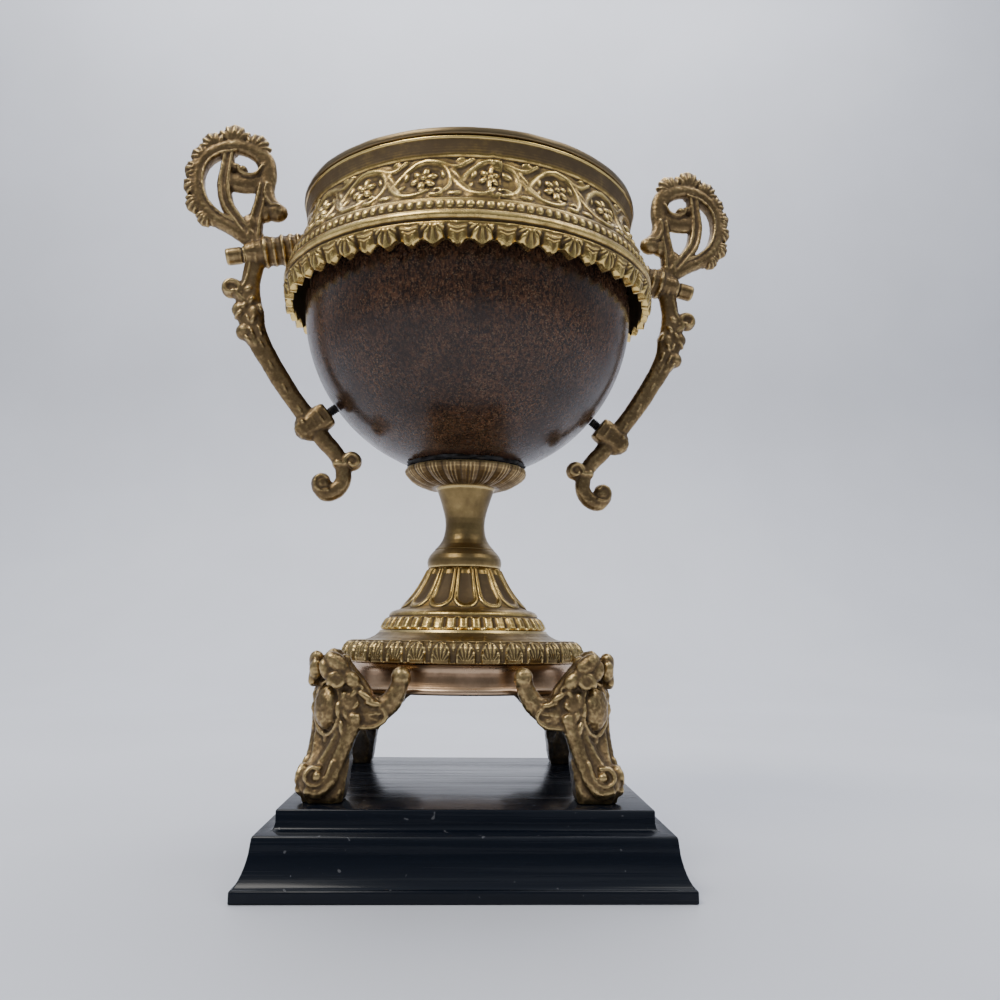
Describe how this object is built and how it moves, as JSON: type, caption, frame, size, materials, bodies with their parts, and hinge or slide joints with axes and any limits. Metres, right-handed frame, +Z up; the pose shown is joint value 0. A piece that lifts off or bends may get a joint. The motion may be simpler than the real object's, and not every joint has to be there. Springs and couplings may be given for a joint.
{
  "type": "mantel urn",
  "caption": "Footed mantel urn with a glazed ball-shaped bowl, cast brass mounts, scroll handles, claw-like scroll legs and a black square plinth.",
  "frame": {"origin": "middle of the overall plan, on the plinth's underside", "axes": "+Z up, -Y towards the front, handles nearly along X, turned 7.5 degrees from +X towards +Y"},
  "size_m": [0.272, 0.1776, 0.3366],
  "materials": {
    "plinth_paint": "glossy black paint over wood, brushed",
    "bowl_glaze": "glossy dark brown with a fine granite speckle",
    "bedding": "matt black bedding compound",
    "cast_brass": "aged cast brass, dark in the hollows",
    "bright_brass": "aged satin brass, brighter on the high places",
    "drum_brass": "coppery satin brass",
    "screw_steel": "blackened"
  },
  "bodies": {
    "root": {"plinth": "plinth_paint", "foot_drum": "drum_brass", "foot_cover": "bright_brass", "fluted_cone": "cast_brass", "stem": "bright_brass", "calyx": "cast_brass", "bowl_seat": "bedding", "bowl": "bowl_glaze", "gallery": "bright_brass", "mouth_rim": "cast_brass", "leg_front_left": "cast_brass", "leg_front_right": "cast_brass", "leg_back_right": "cast_brass", "leg_back_left": "cast_brass", "handle_right": "cast_brass", "handle_stud_right": "cast_brass", "handle_screw_right": "screw_steel", "handle_left": "cast_brass", "handle_stud_left": "cast_brass", "handle_screw_left": "screw_steel"}
  },
  "joints": []
}
